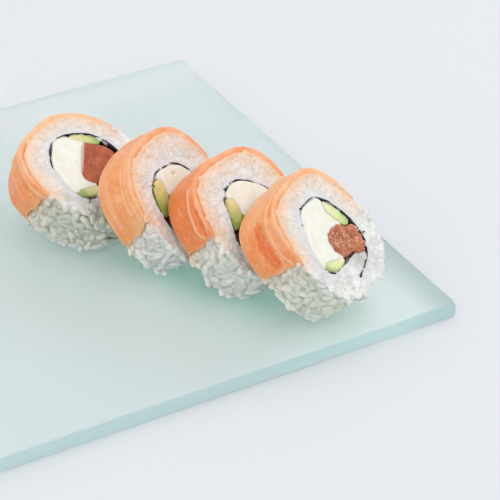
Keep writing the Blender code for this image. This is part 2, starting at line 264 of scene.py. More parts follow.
def lumps(spots, size, seed=0):
    """Smooth noise from -1 to 1 at points, with bumps about `size` across."""
    shift = Vector((7.1 * seed + 3.3, 5.7 * seed, 2.9 * seed))
    return np.array([noise.noise(Vector(spot) / size + shift) for spot in spots])


def apply_all(thing):
    work_on(thing)
    for modifier in list(thing.modifiers):
        bpy.ops.object.modifier_apply(modifier=modifier.name)


def soften(thing, factor, steps):
    change = thing.modifiers.new("soften", "SMOOTH")
    change.factor = factor
    change.iterations = steps
    apply_all(thing)


def remesh(thing, voxel, steps):
    """One even skin over a body, at a voxel size in millimetres, softened in a few steps."""
    change = thing.modifiers.new("skin", "REMESH")
    change.mode = "VOXEL"
    change.voxel_size = voxel * MM
    change.use_smooth_shade = True
    soften(thing, 0.5, steps)


def copy_of(node, name):
    """Merged copy of a CAD body, as an object of its own."""
    made = bpy.data.objects.new(name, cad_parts[node].data.copy())
    bpy.context.scene.collection.objects.link(made)
    made.data.materials.clear()
    with editing(made):
        bpy.ops.mesh.remove_doubles(threshold=1e-6)
    return made


def tree_of(nodes):
    """Search tree over CAD bodies, for distances to them."""
    corners, faces = [], []
    for name in nodes:
        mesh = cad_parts[name].data
        start = len(corners)
        corners += [tuple(vertex.co) for vertex in mesh.vertices]
        faces += [tuple(start + i for i in face.vertices) for face in mesh.polygons]
    return BVHTree.FromPolygons(corners, faces)


def from_run(spots, start, end):
    """Distance from points to the straight run between two others."""
    along = end - start
    share = np.clip(((spots - start) @ along) / (along @ along), 0, 1)
    return np.linalg.norm(spots - start - share[..., None] * along, axis=-1)


def distances(tree, spots, reach):
    """Distance in millimetres from points in metres to the tree, or `reach` where further."""
    found = []
    for spot in spots:
        near = tree.find_nearest(Vector(spot), reach * MM)
        found.append(reach if near[3] is None else near[3] / MM)
    return np.array(found)


def keep_off_plate(thing):
    """Lifts what is below the plate's top, and returns the places of all points."""
    spots = places(thing)
    spots[:, 2] = np.maximum(spots[:, 2], (PLATE_TOP + GLASS_CLEARANCE) * MM)
    place(thing, spots)
    return spots


def finish(thing, node, material):
    """The piece takes its finish, rides on the one body and replaces its CAD node."""
    deselect()
    thing.data.materials.append(material)
    thing.data.shade_smooth()
    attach(thing, "root")
    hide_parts(node)
    return thing


# ---------------------------------------------------------------- materials

def put(tree, socket, value):
    """A link, a colour or a plain value into a socket."""
    if isinstance(value, bpy.types.NodeSocket):
        tree.links.new(value, socket)
    elif socket.type == "RGBA":
        socket.default_value = (*value, 1)
    else:
        socket.default_value = value


def node(tree, kind, inputs=(), **settings):
    made = tree.nodes.new(kind)
    for name, value in settings.items():
        setattr(made, name, value)
    for key, value in dict(inputs).items():
        put(tree, made.inputs[key], value)
    return made


def mixed(tree, share, low, high, blend="MIX"):
    made = node(tree, "ShaderNodeMix", data_type="RGBA", blend_type=blend)
    for index, value in ((0, share), (6, low), (7, high)):
        put(tree, made.inputs[index], value)
    return made.outputs[2]


def maths(tree, operation, first, second=0.0):
    made = node(tree, "ShaderNodeMath", operation=operation)
    put(tree, made.inputs[0], first)
    put(tree, made.inputs[1], second)
    return made.outputs[0]


def times(tree, first, *others):
    for other in others:
        first = maths(tree, "MULTIPLY", first, other)
    return first


def layered(tree, colour, *layers):
    """Colours laid over the first one: each layer is its share, its colour and, if not MIX, its blend."""
    for share, over, *blend in layers:
        colour = mixed(tree, share, colour, over, *blend)
    return colour


def ranged(tree, value, low, high, to_low=0.0, to_high=1.0):
    made = node(tree, "ShaderNodeMapRange", interpolation_type="SMOOTHSTEP")
    for name, setting in (("Value", value), ("From Min", low), ("From Max", high),
                          ("To Min", to_low), ("To Max", to_high)):
        put(tree, made.inputs[name], setting)
    return made.outputs[0]


def cloud(tree, where, scale, detail=2.0, roughness=0.5, distortion=0.0):
    return node(tree, "ShaderNodeTexNoise", {
        "Vector": where, "Scale": scale, "Detail": detail,
        "Roughness": roughness, "Distortion": distortion,
    }).outputs[0]


def axes(tree, vector):
    return node(tree, "ShaderNodeSeparateXYZ", {"Vector": vector}).outputs


def mapped(tree, where, scale=(1, 1, 1), turn=(0, 0, 0)):
    return node(tree, "ShaderNodeMapping", {"Vector": where, "Scale": scale, "Rotation": turn}).outputs[0]


def dots(tree, where, scale, edge, heart):
    """Mask of scattered dots, which fade from their hearts to their edges."""
    cells = node(tree, "ShaderNodeTexVoronoi", {"Vector": where, "Scale": scale, "Randomness": 1.0})
    return ranged(tree, cells.outputs["Distance"], edge, heart)


def own_value(tree, name):
    """A value that the piece holds at each of its points."""
    return node(tree, "ShaderNodeAttribute", attribute_name=name).outputs["Fac"]


def material(name, **uniform):
    """New material, its tree, its Principled shader with the uniform values, and the place on the object."""
    made = bpy.data.materials.new(name)
    made.use_nodes = True
    shader = made.node_tree.nodes["Principled BSDF"]
    for key, value in uniform.items():
        shader.inputs[key.replace("_", " ").title().replace("Ior", "IOR")].default_value = value
    here = node(made.node_tree, "ShaderNodeTexCoord").outputs["Object"]
    return made, made.node_tree, shader, here


def dress(tree, shader, colour, height, depth, strength):
    """Colour and relief of a finish; the depth is in millimetres."""
    put(tree, shader.inputs["Base Color"], colour)
    bump = node(tree, "ShaderNodeBump", {"Height": height, "Distance": depth * MM, "Strength": strength})
    put(tree, shader.inputs["Normal"], bump.outputs[0])


def group(name, inputs, outputs):
    """Empty shader node group with number inputs, apart from a vector called Where."""
    tree = bpy.data.node_groups.new(name, "ShaderNodeTree")
    for label, start in inputs:
        kind = "NodeSocketVector" if label == "Where" else "NodeSocketFloat"
        socket = tree.interface.new_socket(name=label, in_out="INPUT", socket_type=kind)
        if start is not None:
            socket.default_value = start
    for label in outputs:
        tree.interface.new_socket(name=label, in_out="OUTPUT", socket_type="NodeSocketFloat")
    return tree, tree.nodes.new("NodeGroupInput"), tree.nodes.new("NodeGroupOutput")


def make_mottle():
    """Soft blotches: a mask from 0 to 1."""
    tree, taken, given = group(
        "mottle", (("Where", None), ("Scale", 100.0), ("Low", 0.4), ("High", 0.6)), ("Mask",))
    blotch = cloud(tree, taken.outputs["Where"], taken.outputs["Scale"], 3.0, 0.55)
    mask = ranged(tree, blotch, taken.outputs["Low"], taken.outputs["High"])
    tree.links.new(mask, given.inputs["Mask"])
    return tree


def make_moist_grain():
    """Moist surface: fine pits over a slower swell, as a height from 0 to 1."""
    tree, taken, given = group(
        "moist_grain", (("Where", None), ("Scale", 900.0), ("Swell", 250.0)), ("Height",))
    fine = cloud(tree, taken.outputs["Where"], taken.outputs["Scale"], 3.0, 0.6)
    slow = cloud(tree, taken.outputs["Where"], taken.outputs["Swell"], 2.0, 0.5)
    both = maths(tree, "ADD", times(tree, fine, 0.4), times(tree, slow, 0.6))
    tree.links.new(both, given.inputs["Height"])
    return tree


ROW_TURN = math.radians(59.4)
MOTTLE = make_mottle()
MOIST_GRAIN = make_moist_grain()


def mottle(tree, where, scale, low, high):
    inputs = {"Where": where, "Scale": scale, "Low": low, "High": high}
    return node(tree, "ShaderNodeGroup", node_tree=MOTTLE, inputs=inputs).outputs[0]


def moist_grain(tree, where, scale, swell):
    inputs = {"Where": where, "Scale": scale, "Swell": swell}
    return node(tree, "ShaderNodeGroup", node_tree=MOIST_GRAIN, inputs=inputs).outputs[0]


def within(tree, value, low, high, soft):
    """Mask of the band in which a coordinate lies, with soft sides."""
    rise = ranged(tree, value, low - soft, low + soft)
    return times(tree, rise, ranged(tree, value, high + soft, high - soft))


def make_glass():
    """Plate of pale aqua float glass, satin on its faces and greener along its ground edge, with painted
    light, shade, glints and glow.
    """
    made, tree, shader, here = material(
        "frosted_aqua_glass", roughness=0.34, ior=1.5, transmission_weight=0.55, emission_strength=1.0)
    upright = axes(tree, node(tree, "ShaderNodeNewGeometry").outputs["Normal"])["Z"]
    edge = ranged(tree, maths(tree, "ABSOLUTE", upright), 0.9, 0.35)
    # painted light and shade: a pale band along the far edge, where the glass gathers the light, and painted
    # shade on the right edge towards the corner
    x, y, _ = axes(tree, here)
    band = within(tree, y, 0.081, 0.095, 0.008)
    shade = times(tree, ranged(tree, x, 0.084, 0.100), ranged(tree, y, 0.02, -0.09))
    # painted shadow: the glass is painted greener along the foot of the slices, where they keep the light
    # off it
    along, aside, _ = axes(tree, mapped(tree, here, turn=(0, 0, ROW_TURN)))
    painted_foot_shadow = within(tree, aside, -0.003, 0.012, 0.011)
    painted_foot_shadow = times(tree, within(tree, along, 0.020, 0.090, 0.022), painted_foot_shadow)
    # painted glints: small pale sparkles on the satin top, strongest in the painted foot shadow
    glint = times(tree, dots(tree, here, 620.0, 0.22, 0.10), mottle(tree, here, 160.0, 0.50, 0.60))
    colour = layered(
        tree, (0.88, 0.965, 0.955),
        (mottle(tree, here, 14.0, 0.3, 0.72), (0.92, 0.98, 0.98)),
        (times(tree, band, 0.9), (0.985, 0.99, 1.0)),
        (times(tree, shade, 0.85), (0.60, 0.71, 0.71)),
        (painted_foot_shadow, (0.60, 0.92, 0.81)),
        (times(tree, glint, maths(tree, "ADD", painted_foot_shadow, 0.06)), (0.93, 1.0, 0.98)),
        (edge, (0.735, 0.945, 0.955)))
    # painted glow: a faint emission along the foot of the slices stands in for light that the frosted glass
    # carries sideways into their shade
    glow = times(tree, within(tree, along, -0.026, 0.122, 0.018), within(tree, aside, -0.023, 0.043, 0.016),
                 maths(tree, "SUBTRACT", 1.0, edge))
    put(tree, shader.inputs["Emission Color"], mixed(tree, glow, (0, 0, 0), (0.046, 0.058, 0.053)))
    smear = mapped(tree, here, (1.0, 5.0, 1.0), (0, 0, 0.9))
    wet = mottle(tree, smear, 22.0, 0.5, 0.66)
    put(tree, shader.inputs["Roughness"], ranged(tree, wet, 0, 1, 0.40, 0.33))
    dress(tree, shader, colour, cloud(tree, here, 2200.0, 2.0, 0.6), 0.02, 0.35)
    # light passes the glass on its way to the table
    clear = node(tree, "ShaderNodeBsdfTransparent", {"Color": (0.84, 0.92, 0.91)})
    path = node(tree, "ShaderNodeLightPath")
    both = node(tree, "ShaderNodeMixShader", {
        0: path.outputs["Is Shadow Ray"], 1: shader.outputs[0], 2: clear.outputs[0]})
    tree.links.new(both.outputs[0], tree.nodes["Material Output"].inputs["Surface"])
    return made


def make_salmon():
    """Raw salmon: peach with deeper patches, pale fatty lines along the slice, moist, paler on raised folds
    and deeper in sunk ones, partly as painted highlight and painted shade.
    """
    made, tree, shader, here = material(
        "raw_salmon", roughness=0.36, subsurface_weight=0.4, subsurface_scale=0.0018,
        subsurface_radius=(1.0, 0.42, 0.22), coat_weight=0.08, coat_roughness=0.25)
    flat = node(tree, "ShaderNodeTexCoord").outputs["UV"]
    fold, rich = own_value(tree, "fat"), own_value(tree, "rich")
    patch = mottle(tree, here, 170.0, 0.36, 0.66)
    deep = times(tree, ranged(tree, rich, -0.2, 1.0), 0.75)
    # deeper colour in sunk folds, partly painted shade
    deep = maths(tree, "MAXIMUM", ranged(tree, fold, -0.1, -0.8), deep)
    # muscle bands run round the slice, a few millimetres apart
    warp = cloud(tree, mapped(tree, flat, (5.0, 3.4, 1.0)), 1.4)
    run = maths(tree, "ADD", times(tree, axes(tree, flat)["Y"], 5.0), times(tree, warp, 3.0))
    line = ranged(tree, maths(tree, "PINGPONG", run, 0.5), 0.075, 0.0)
    fat = times(tree, line, mottle(tree, here, 70.0, 0.42, 0.6), 0.55)
    thin = times(tree, own_value(tree, "thin"), ranged(tree, warp, 0.3, 0.7, 0.12, 0.55))
    # pale on raised folds: fatty flesh, and partly a painted highlight
    for more in (ranged(tree, fold, 0.15, 0.95, 0.0, 0.72), thin):
        fat = maths(tree, "MAXIMUM", fat, more)
    colour = layered(
        tree, (0.94, 0.345, 0.11),
        (patch, (0.97, 0.455, 0.20)),
        (times(tree, ranged(tree, rich, -0.25, -1.0), 0.6), (0.98, 0.56, 0.29)),
        (deep, (0.86, 0.175, 0.02)),
        (times(tree, mottle(tree, here, 620.0, 0.45, 0.7), 0.22), (1.0, 0.62, 0.38)),
        (fat, (0.985, 0.66, 0.42)))
    put(tree, shader.inputs["Roughness"], ranged(tree, patch, 0, 1, 0.34, 0.46))
    grain = moist_grain(tree, here, 1500.0, 420.0)
    dress(tree, shader, colour, maths(tree, "SUBTRACT", grain, times(tree, line, 0.5)), 0.16, 0.6)
    return made


def make_rice():
    """Steamed rice: white and slightly clear, pink where the salmon lies on it, mauve by the nori, with
    painted shade on its sides and hollows and painted light near the plate.
    """
    made, tree, shader, here = material(
        "steamed_rice", roughness=0.36, subsurface_weight=0.6, subsurface_scale=0.0022,
        subsurface_radius=(1.0, 0.95, 0.75))
    stain = ranged(tree, mottle(tree, here, 260.0, 0.36, 0.68), 0, 1, 0.65, 1.0)
    fleck = times(tree, dots(tree, here, 170.0, 0.075, 0.035), mottle(tree, here, 240.0, 0.56, 0.6))
    colour = layered(
        tree, (0.68, 0.685, 0.66),
        (own_value(tree, "tone"), (0.91, 0.91, 0.885)),
        # painted shade: the sides of the roll are darker and greener than its cuts
        (own_value(tree, "side"), (0.80, 0.82, 0.70), "MULTIPLY"),
        (times(tree, own_value(tree, "pink"), stain), (0.90, 0.655, 0.50)),
        (times(tree, own_value(tree, "bleed"), 0.75), (0.98, 0.52, 0.26)),
        (own_value(tree, "mauve"), (0.78, 0.75, 0.77)),
        # painted shade in the hollows between grains and at the painted shade spots
        (own_value(tree, "gap"), (0.75, 0.76, 0.70), "MULTIPLY"),
        (fleck, (0.55, 0.29, 0.13)))
    dress(tree, shader, colour, moist_grain(tree, here, 1300.0, 500.0), 0.30, 0.6)
    return made


def make_nori():
    """Black-green nori, matt, with a grey sheen painted into its colour where it is wet."""
    made, tree, shader, here = material("damp_nori", roughness=0.42)
    damp_and_sheen = mottle(tree, here, 330.0, 0.45, 0.7)
    # painted sheen: the colour turns grey where the nori is wet
    colour = mixed(tree, damp_and_sheen, (0.008, 0.010, 0.010), (0.045, 0.045, 0.055))
    put(tree, shader.inputs["Roughness"], ranged(tree, damp_and_sheen, 0, 1, 0.5, 0.3))
    dress(tree, shader, colour, moist_grain(tree, here, 2600.0, 1200.0), 0.15, 0.8)
    return made


def make_cream():
    """Cream cheese: ivory, with faint streaks where the knife went down and small yellow pits."""
    made, tree, shader, here = material(
        "cream_cheese", roughness=0.40, subsurface_weight=0.4, subsurface_scale=0.0015,
        subsurface_radius=(1.0, 0.85, 0.6))
    streak = cloud(tree, mapped(tree, here, (1.0, 0.18, 1.0), (0.7, 0.0, -0.5)), 420.0, 3.0, 0.55)
    colour = layered(
        tree, (0.865, 0.835, 0.70),
        (ranged(tree, streak, 0.35, 0.65), (0.91, 0.895, 0.82)),
        (own_value(tree, "pit"), (0.80, 0.66, 0.24)))
    grain = moist_grain(tree, here, 1500.0, 420.0)
    dress(tree, shader, colour, maths(tree, "ADD", grain, times(tree, streak, 0.5)), 0.14, 0.5)
    return made


def make_avocado():
    """Avocado: butter yellow at the stone, green towards the rind, and olive where it has turned, with a
    dark rim that is partly painted shade.
    """
    made, tree, shader, here = material(
        "ripe_avocado", roughness=0.36, subsurface_weight=0.3, subsurface_scale=0.0012,
        subsurface_radius=(0.8, 1.0, 0.3))
    wander = times(tree, cloud(tree, here, 420.0, 3.0, 0.6), 0.5)
    ripe = maths(tree, "ADD", own_value(tree, "green"), maths(tree, "SUBTRACT", wander, 0.25))
    inner = ranged(tree, ripe, 0.0, 0.6)
    fresh = layered(tree, (0.88, 0.83, 0.52), (inner, (0.76, 0.79, 0.40)),
                    (ranged(tree, ripe, 0.6, 1.1), (0.42, 0.58, 0.20)))
    turned = layered(tree, (0.76, 0.66, 0.30), (inner, (0.60, 0.56, 0.18)),
                     (ranged(tree, ripe, 0.48, 1.05), (0.25, 0.34, 0.05)))
    colour = layered(
        tree, fresh, (own_value(tree, "olive"), turned),
        # dark rim: partly the flesh under the rind, partly painted shade
        (times(tree, own_value(tree, "skin"), 0.75), (0.30, 0.27, 0.04)))
    dress(tree, shader, colour, moist_grain(tree, here, 1600.0, 600.0), 0.12, 0.5)
    return made


def make_salmon_shreds():
    """Salmon of the front slice's filling: torn to shreds, with pale fatty squiggles."""
    made, tree, shader, here = material(
        "salmon_shreds", roughness=0.34, subsurface_weight=0.25, subsurface_scale=0.0010,
        subsurface_radius=(1.0, 0.35, 0.25), specular_ior_level=0.35)
    curl = cloud(tree, here, 290.0, 1.2, 0.4, 2.2)
    line = ranged(tree, maths(tree, "ABSOLUTE", maths(tree, "SUBTRACT", curl, 0.5)), 0.06, 0.005)
    colour = layered(
        tree, (0.42, 0.105, 0.04),
        (mottle(tree, here, 200.0, 0.35, 0.65), (0.58, 0.185, 0.08)),
        (times(tree, line, 0.72), (0.86, 0.52, 0.38)))
    grain = moist_grain(tree, here, 1400.0, 600.0)
    dress(tree, shader, colour, maths(tree, "ADD", grain, times(tree, line, 0.5)), 0.3, 0.8)
    return made


def make_salmon_strip():
    """Salmon of the other fillings: a cured strip, brown-red and moist, with broken muscle bands."""
    made, tree, shader, here = material(
        "salmon_strip", roughness=0.24, subsurface_weight=0.25, subsurface_scale=0.0010,
        subsurface_radius=(1.0, 0.35, 0.25), specular_ior_level=0.32)
    wander = times(tree, cloud(tree, here, 300.0, 2.0), 0.5)
    saw = maths(tree, "PINGPONG", maths(tree, "ADD", own_value(tree, "run"), wander), 0.5)
    line = times(tree, ranged(tree, saw, 0.10, 0.0), mottle(tree, here, 150.0, 0.45, 0.62))
    colour = layered(
        tree, (0.34, 0.055, 0.010),
        (mottle(tree, here, 200.0, 0.35, 0.65), (0.50, 0.105, 0.024)),
        (times(tree, line, 0.42), (0.80, 0.36, 0.20)),
        # pale streak of the first slice: partly fatty flesh, partly a painted highlight
        (own_value(tree, "fat"), (0.86, 0.66, 0.58)))
    grain = moist_grain(tree, here, 1400.0, 600.0)
    dress(tree, shader, colour, maths(tree, "ADD", grain, times(tree, line, 0.2)), 0.14, 0.8)
    return made


def make_table():
    """White table top with a very fine tooth."""
    made, tree, shader, here = material("white_table", roughness=0.75)
    grain = cloud(tree, here, 700.0, 2.0)
    colour = mixed(tree, ranged(tree, grain, 0.3, 0.7), (0.745, 0.76, 0.785), (0.76, 0.775, 0.80))
    dress(tree, shader, colour, grain, 0.1, 0.15)
    return made


# ---------------------------------------------------------------- salmon over each slice

SALMON_THICKNESS = 2.5
THICKEST = 1.45
ARC_SPANS = 110
DEPTH_SPANS = 30
EDGE_ROUND = 0.9
EDGE_DROP = 0.15
TIP_SHARE = 0.12
RAGGED = ((3.4, 5.0), (2.0, 1.7))
LEFT_FROM = 0.6
TOP_ENDS = 85
FOOT_STARTS = 150


def fold_field(piece, angle, depth):
    """How far the folds lift the salmon at points, and how pale or deep in colour it is there, partly as
    painted highlight and painted shade.
    """
    lift, colour = np.zeros_like(angle), np.zeros_like(angle)
    radius = (piece.half_width + piece.half_height) / 2
    here = np.stack([np.radians(angle) * radius, depth], -1)
    for run, width, height, fat in piece.folds:
        points = np.array([(math.radians(a) * radius, d) for a, d in run])
        nearest = np.full(angle.shape, 1e9)
        for start, end in zip(points, points[1:]):
            nearest = np.minimum(nearest, from_run(here, start, end))
        lift += height * np.exp(-(nearest / width) ** 2)
        colour += fat * np.exp(-(nearest / (0.8 * width)) ** 2)
    return lift, np.clip(colour, -1, 1)


def make_salmon_sheet(piece, number, finish_with):
    """One slice of salmon, laid over the top of the roll from its right side to its left."""
    deselect()
    bpy.ops.mesh.primitive_grid_add(x_subdivisions=ARC_SPANS, y_subdivisions=DEPTH_SPANS, size=1)
    sheet = bpy.context.object
    sheet.name = piece.name + "_salmon"
    flat = places(sheet)
    u, v = flat[:, 0] + 0.5, flat[:, 1] + 0.5

    right = piece.wrap_right[0] + (piece.wrap_right[1] - piece.wrap_right[0]) * v
    left = piece.wrap_left[0] + (piece.wrap_left[1] - piece.wrap_left[0]) * v
    along_edge = np.stack([u * 0, v * piece.length, u * 0 + number], -1)
    ragged = sum(size * lumps(along_edge, pitch, number) for size, pitch in RAGGED)
    left = left + ragged * ease((u - LEFT_FROM) / (1 - LEFT_FROM))
    angle = right + (left - right) * u
    # the front edge wanders, most of all in long waves
    along_front = np.stack([angle * 0.4, u * 0, u * 0], -1)
    front, finer = lumps(along_front, 5.0, number + 5), lumps(along_front, 1.8, number + 6)
    depth = v * piece.length + (0.05 + 0.30 * front + 0.25 * finer) * (1 - v) ** 3 + 0.1 * v

    lift, fat = fold_field(piece, angle, depth)
    lift *= 0.45 + 0.55 * ease((depth - 3.0) / 6.0)
    to_cut = np.minimum(v, 1 - v) * piece.length
    short = np.clip(EDGE_ROUND - to_cut, 0, EDGE_ROUND)
    drop = EDGE_ROUND - np.sqrt(EDGE_ROUND ** 2 - short ** 2)
    crown = 0.15 + 0.55 * np.sin(math.pi * v) ** 0.8
    way = np.radians(angle)
    reach = piece.rim(way)
    round_it = np.stack([reach * np.cos(way), reach * np.sin(way), -depth], -1)
    wave = 0.45 * lumps(round_it, 9.0, number + 10) + 0.16 * lumps(round_it, 3.2, number + 20)
    reach = reach + crown - drop * EDGE_DROP + (lift + wave) * (0.3 + 0.7 * ease(to_cut / 1.4))
    place(sheet, piece.outside(np.stack([reach * np.cos(way), reach * np.sin(way), -depth], -1)))

    # the sheet has to look outwards, because its wall is laid on the inner side
    with editing(sheet):
        bpy.ops.mesh.normals_make_consistent(inside=False)
    middle = piece.outside(np.array((0, 0, -piece.length / 2)))
    if np.einsum("ij,ij->i", outward(sheet), places(sheet) - middle).mean() < 0:
        with editing(sheet):
            bpy.ops.mesh.flip_normals()
    below = ease((angle - TOP_ENDS) / (FOOT_STARTS - TOP_ENDS))
    rich = piece.rich_above + (piece.rich_below - piece.rich_above) * below
    rich = rich + 0.35 * lumps(round_it, 8.0, number + 30)
    end = np.minimum(u, 1 - u)
    write_values(sheet, fat=fat, rich=rich, thin=1 - ease(np.minimum(end * 75, to_cut * 0.9) / 1.6))
    full = (0.16 + 0.84 * ease(end / TIP_SHARE)) * (0.69 + 0.24 * ease(1 - to_cut / 3.5) + 0.10 * front)
    weights = sheet.vertex_groups.new(name="thickness")
    for index, share in enumerate(full):
        weights.add([index], float(share), "REPLACE")
    wall = sheet.modifiers.new("wall", "SOLIDIFY")
    wall.thickness = SALMON_THICKNESS * THICKEST * MM
    wall.offset = -1.0
    wall.vertex_group = "thickness"
    wall.thickness_vertex_group = 0.0
    smoother = sheet.modifiers.new("smoother", "SUBSURF")
    smoother.levels = smoother.render_levels = 1
    apply_all(sheet)
    sheet.vertex_groups.clear()
    keep_off_plate(sheet)
    return finish(sheet, piece.name + "_salmon_wrap", finish_with)


# ---------------------------------------------------------------- rice

# Each kind of grain has a length, a width and a bend, which is a share of its length.
GRAIN_KINDS = ((5.7, 2.6, 0.10), (5.1, 2.8, -0.06), (6.1, 2.5, 0.16), (4.6, 2.9, 0.0))
GRAIN_FLATNESS = 0.88
GRAIN_SPACING = 2.5
CUT_SPACING = 2.2
TOP_SPACING = 4.3
CRUMBLED_SPACING = 3.0
TRIES = 14000
ON_CUT = 0.8
COVERED = 0.45
FOOT_HEIGHT = 9.0
# how strongly each slice's rice sides are painted darker and greener, as shade
SIDE_SHADE = {"maki_1": 0.85, "maki_2": 0.15, "maki_3": 0.45, "maki_4": 0.75}
LOOSE_SHARE = {"maki_1": 0.30, "maki_2": 0.12, "maki_3": 0.12, "maki_4": 0.08}
RICE_VOXEL = {"maki_1": 0.384, "maki_2": 0.320, "maki_3": 0.330, "maki_4": 0.339}
MASH_SIZE = 2.1
MASH_DEPTH = 0.27
MAUVE_REACH = 3.2
PINK_REACH = 9.5
CORE_VOXEL = 0.5
SLUMP_FROM = -11.5


def make_grain_shape(length, width, bend):
    """Points and faces of one cooked grain: plump, flatter on one side, bent, blunter at one end."""
    deselect()
    bpy.ops.mesh.primitive_uv_sphere_add(segments=12, ring_count=8, radius=0.5)
    grain = bpy.context.object
    with editing(grain):
        bpy.ops.transform.resize(value=(width * GRAIN_FLATNESS, width, length))
        bpy.ops.transform.rotate(value=math.radians(90), orient_axis="Y", center_override=(0, 0, 0))
    spots = places(grain)
    along = np.clip(spots[:, 0] / (length / 2), -1, 1)
    round_end = np.sqrt(np.maximum(1 - along ** 2, 1e-6))
    fullness = (1 + 0.08 * along) * np.sqrt(1 - np.abs(along) ** 2.9) / round_end
    spots[:, 1:] *= fullness[:, None]
    spots[:, 1] += bend * length * along ** 2 * 0.5
    # a new sphere's faces come in another order each time, so they are put in one
    faces = sorted(tuple(face.vertices) for face in grain.data.polygons)
    bpy.data.objects.remove(grain)
    return spots, faces


def spread_points(node_name, chance, spacing_of, skip):
    """Points at least a spacing apart on a CAD body's surface, with the way each looks."""
    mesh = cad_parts[node_name].data
    mesh.calc_loop_triangles()
    corners = np.array([[mesh.vertices[i].co for i in face.vertices] for face in mesh.loop_triangles]) / MM
    cross = np.cross(corners[:, 1] - corners[:, 0], corners[:, 2] - corners[:, 0])
    size = np.linalg.norm(cross, axis=1)
    picked = chance.choice(len(size), TRIES, p=size / size.sum())
    a, b = chance.random((2, TRIES))
    over = a + b > 1
    a[over], b[over] = 1 - a[over], 1 - b[over]
    face = corners[picked]
    spots = face[:, 0] + a[:, None] * (face[:, 1] - face[:, 0]) + b[:, None] * (face[:, 2] - face[:, 0])
    ways = cross[picked] / size[picked][:, None]
    free = ~skip(spots, ways)
    spots, ways = spots[free], ways[free]
    spacing = spacing_of(spots, ways)
    kept = np.empty((0, 3))
    chosen = []
    for index, spot in enumerate(spots):
        if len(kept) and ((kept - spot) ** 2).sum(1).min() < spacing[index] ** 2:
            continue
        kept = np.vstack([kept, spot])
        chosen.append(index)
    return spots[chosen], ways[chosen]


def rice_tints(piece, spots, local):
    """Shares of pink, mauve and orange at points, by how near the salmon and the nori lie."""
    salmon = distances(tree_of([piece.name + "_salmon_wrap"]), spots, 9.0)
    nori = distances(tree_of([piece.name + "_nori"]), spots, MAUVE_REACH)
    pink = 0.50 * ease(1 - salmon / 2.4) + ease(1 - salmon / PINK_REACH)
    bleed = ease(1 - salmon / (1.3 + 0.9 * lumps(local, 2.4, 40)))
    return np.clip(pink, 0, 1), 0.8 * ease(1 - nori / MAUVE_REACH), bleed


def slumped(piece, local):
    """Points of a slice once the foot of its upper cut has crumbled away."""
    share = ease((SLUMP_FROM - local[:, 1]) / 9.0) * ease((local[:, 2] + 9.0) / 8.0)
    moved = local.copy()
    moved[:, 2] -= piece.slump * share
    return moved


def make_rice_core(piece, number):
    """The rice under the grains: drawn in a little where grains lie on it."""
    body = copy_of(piece.name + "_rice", piece.name + "_rice_packed")
    remesh(body, CORE_VOXEL, 3)
    spots, ways = places(body), outward(body)
    gap = distances(tree_of(piece.neighbours()), spots, 2.0)
    inside = piece.inside(spots)
    covered = 1 - ease((gap - COVERED) / 0.7)
    on_cut = ease((np.abs(ways @ piece.axis()) - 0.75) / 0.2)
    # bare rice is drawn in, and rice beside a filling or the salmon is pushed out to close the gap
    bare = -0.75 + 0.65 * on_cut + (0.25 - 0.13 * on_cut) * lumps(inside, 1.9, number)
    closing = 0.66 - 0.45 * nori_mark(piece, inside)
    pushed = bare * (1 - covered) + covered * (closing * (1 - on_cut) + 0.18 * on_cut)
    inside = piece.inside(spots + ways * (pushed * MM)[:, None])
    place(body, piece.outside(slumped(piece, inside)))
    return body


def lay_grains(piece, number, shapes, on_top=False):
    """Grains over all the rice that shows: their points, their faces and which grain each is in.

    Those on top lie loose on the outside of the slice, and the others are half sunk all over it.
    """
    chance = np.random.default_rng(SEED + number + (100 if on_top else 0))
    others = tree_of(piece.neighbours())
    axis = piece.axis()

    def skip(spots, ways):
        hidden = distances(others, spots * MM, COVERED + 0.1) < COVERED
        hidden |= (spots[:, 2] < PLATE_TOP + 0.8) & (ways[:, 2] < -0.7)
        if on_top:
            local = piece.inside(spots * MM)
            crumbled = (local[:, 1] < SLUMP_FROM - 1.5) & (piece.slump > 0)
            hidden |= ((np.abs(ways @ axis) > ON_CUT) | (local[:, 2] > -1.4)) & ~crumbled
        return hidden

    def spacing_of(spots, ways):
        if on_top:
            crumbled = (piece.inside(spots * MM)[:, 1] < SLUMP_FROM) & (piece.slump > 0)
            return np.where(crumbled, CRUMBLED_SPACING, TOP_SPACING)
        return np.where(np.abs(ways @ axis) > ON_CUT, CUT_SPACING, GRAIN_SPACING)

    spots, ways = spread_points(piece.name + "_rice", chance, spacing_of, skip)
    points, faces, owners = [], [], []
    start = 0
    for index, (spot, way) in enumerate(zip(spots, ways)):
        shape, shape_faces = shapes[chance.integers(len(shapes))]
        on_cut = abs(way @ axis) > ON_CUT
        lie = chance.normal(size=3)
        lie -= way * (lie @ way) * (0.55 if on_cut else 0.90)
        lie /= np.linalg.norm(lie)
        side = np.cross(way, lie)
        side /= np.linalg.norm(side)
        up = np.cross(lie, side)
        scale = chance.uniform(0.86, 1.1)
        sunk = chance.uniform(0.5, 1.3) if on_cut else chance.uniform(0.6, 1.3)
        if on_top:
            loose = chance.random() < LOOSE_SHARE[piece.name]
            sunk = chance.uniform(-0.5, 0.5) if loose else chance.uniform(0.4, 0.9)
        points.append(spot - way * sunk + shape @ np.array([lie, side, up]) * scale)
        faces += [tuple(start + i for i in face) for face in shape_faces]
        owners += [index] * len(shape)
        start += len(shape)
    return np.concatenate(points), faces, np.array(owners)


